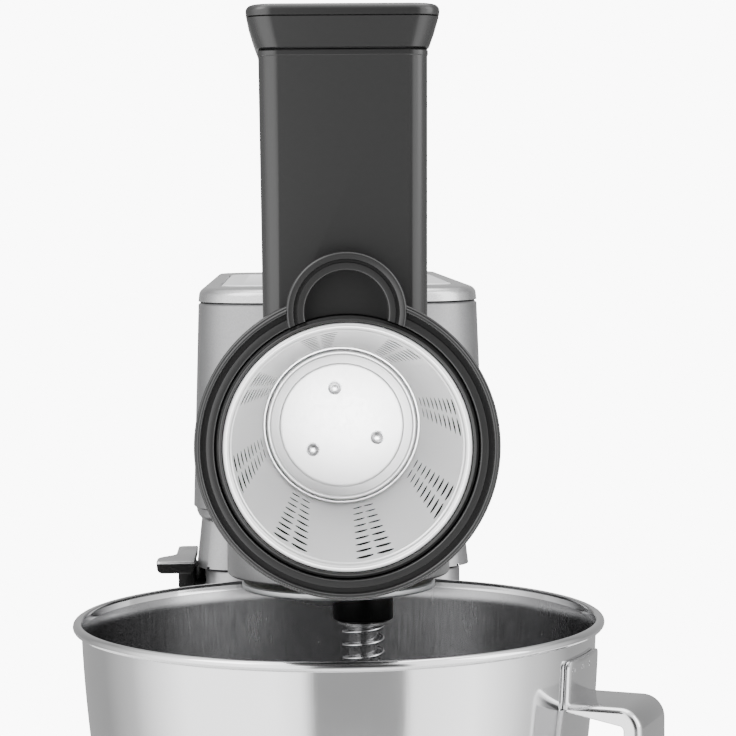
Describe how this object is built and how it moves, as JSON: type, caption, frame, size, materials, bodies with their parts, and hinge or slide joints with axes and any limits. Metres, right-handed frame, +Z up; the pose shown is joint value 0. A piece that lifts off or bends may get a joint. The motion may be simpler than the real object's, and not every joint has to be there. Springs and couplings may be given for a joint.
{
  "type": "tilt-head kitchen machine",
  "caption": "Tilt-head kitchen machine: steel bowl, motor head on a hinged column, planetary tool shaft, and a drum shredder with feed chute and pusher on the front hub.",
  "frame": {"origin": "on the table under the bowl's axis, at the centre foot's flat face", "axes": "+Z up, -Y towards the front where the drum's mouth is, +X to the right seen from the front"},
  "size_m": [0.2404, 0.4375, 0.443],
  "materials": {
    "body_silver": "satin silver paint on die-cast alloy",
    "cover_silver": "bright satin silver alloy",
    "lid_silver": "satin silver plastic",
    "bowl_steel": "polished with a fine turned grain",
    "handle_steel": "satin",
    "drum_steel": "bright pressed sheet",
    "shaft_steel": "ground",
    "gear_steel": "machined",
    "spring_steel": "drawn wire",
    "cast_alloy": "as cast",
    "gloss_black": "high gloss",
    "black_plastic": "fine grain",
    "foot_rubber": "matt",
    "belt_rubber": "ribbed",
    "gear_nylon": "moulded nylon",
    "laminations": "stacked sheet",
    "rotor_copper": "wound copper",
    "board_green": "lacquered board"
  },
  "bodies": {
    "base": {"base_housing": "body_silver", "column_housing": "body_silver", "base_cover": "black_plastic", "rubber_feet": "foot_rubber", "base_screws": "gear_steel", "bowl_seat": "black_plastic", "column_cover": "body_silver", "cord_gland": "foot_rubber", "control_board": "board_green", "knob_trim": "shaft_steel", "hinge_pin": "gear_steel"},
    "bowl": {"bowl": "bowl_steel", "bowl_foot": "handle_steel", "bowl_handle": "handle_steel"},
    "head": {"head_shell": "body_silver", "head_top_cover": "cover_silver", "head_belly": "body_silver", "gear_chassis": "cast_alloy", "hub_ring": "shaft_steel", "motor_stator": "laminations", "ring_gear": "gear_nylon", "shaft_bearings": "gear_steel", "drive_belt": "belt_rubber"},
    "lid": {"port_lid": "lid_silver"},
    "rotor": {"motor_rotor": "rotor_copper", "motor_shaft": "gear_steel", "motor_pulley": "gear_steel", "motor_fan": "black_plastic"},
    "drive": {"main_shaft": "gear_steel", "main_pulley": "black_plastic", "bevel_pinion": "gear_steel"},
    "carrier": {"planet_carrier": "cast_alloy", "carrier_shaft": "gear_steel", "bevel_wheel": "gear_steel"},
    "spindle": {"tool_shaft": "shaft_steel", "planet_gear": "gear_nylon", "shaft_washer": "handle_steel", "tool_spring": "spring_steel"},
    "attachment": {"drum_housing": "gloss_black", "front_frame": "gloss_black"},
    "pusher": {"pusher": "black_plastic", "pusher_cap": "gloss_black"},
    "drum": {"drum_cone": "drum_steel", "drum_end": "drum_steel", "drum_rivets": "shaft_steel", "drum_collar": "gloss_black", "drum_hub": "black_plastic"},
    "lever": {"release_lever": "black_plastic", "lever_pad": "cover_silver", "lever_shaft": "gear_steel", "latch_cam": "black_plastic"},
    "knob": {"speed_knob": "cover_silver", "knob_shaft": "gear_steel"}
  },
  "joints": [
    {"name": "bowl_twist", "type": "hinge", "parent": "base", "child": "bowl", "pos_m": [0, 0, 0.04], "axis": [0, 0, 1], "range_deg": [0, 20]},
    {"name": "head_tilt", "type": "hinge", "parent": "base", "child": "head", "pos_m": [0, 0.205, 0.222], "axis": [-1, 0, 0], "range_deg": [0, 38]},
    {"name": "lid_lift", "type": "slide", "parent": "head", "child": "lid", "axis": [0, 0, 1], "range_m": [0, 0.03]},
    {"name": "rotor_spin", "type": "hinge", "parent": "head", "child": "rotor", "pos_m": [0, 0.15, 0.252], "axis": [0, 1, 0], "continuous": true},
    {"name": "drive_spin", "type": "hinge", "parent": "head", "child": "drive", "pos_m": [0, 0, 0.2915], "axis": [0, 1, 0], "continuous": true},
    {"name": "carrier_spin", "type": "hinge", "parent": "head", "child": "carrier", "pos_m": [0, 0, 0.21], "axis": [0, 0, 1], "continuous": true},
    {"name": "spindle_spin", "type": "hinge", "parent": "carrier", "child": "spindle", "pos_m": [0.0094, -0.01989, 0.2], "axis": [0, 0, 1], "continuous": true},
    {"name": "attachment_slide", "type": "slide", "parent": "head", "child": "attachment", "axis": [0, -1, 0], "range_m": [0, 0.05]},
    {"name": "pusher_slide", "type": "slide", "parent": "attachment", "child": "pusher", "axis": [0, 0, 1], "range_m": [0, 0.085]},
    {"name": "drum_spin", "type": "hinge", "parent": "attachment", "child": "drum", "pos_m": [0, -0.12, 0.2915], "axis": [0, 1, 0], "continuous": true},
    {"name": "lever_press", "type": "hinge", "parent": "base", "child": "lever", "pos_m": [-0.06, 0.154, 0.196], "axis": [1, 0, 0], "range_deg": [0, 12], "stiffness_Nm_per_rad": 0.35, "springref_deg": -17.19},
    {"name": "knob_turn", "type": "hinge", "parent": "base", "child": "knob", "pos_m": [0.06, 0.176, 0.112], "axis": [1, 0, 0], "range_deg": [0, 240]}
  ],
  "couplings": [
    {"joint": "drive_spin", "follows": "rotor_spin", "ratio": 0.30769},
    {"joint": "carrier_spin", "follows": "rotor_spin", "ratio": 0.15385},
    {"joint": "spindle_spin", "follows": "rotor_spin", "ratio": -0.3956},
    {"joint": "drum_spin", "follows": "rotor_spin", "ratio": 0.30769}
  ]
}
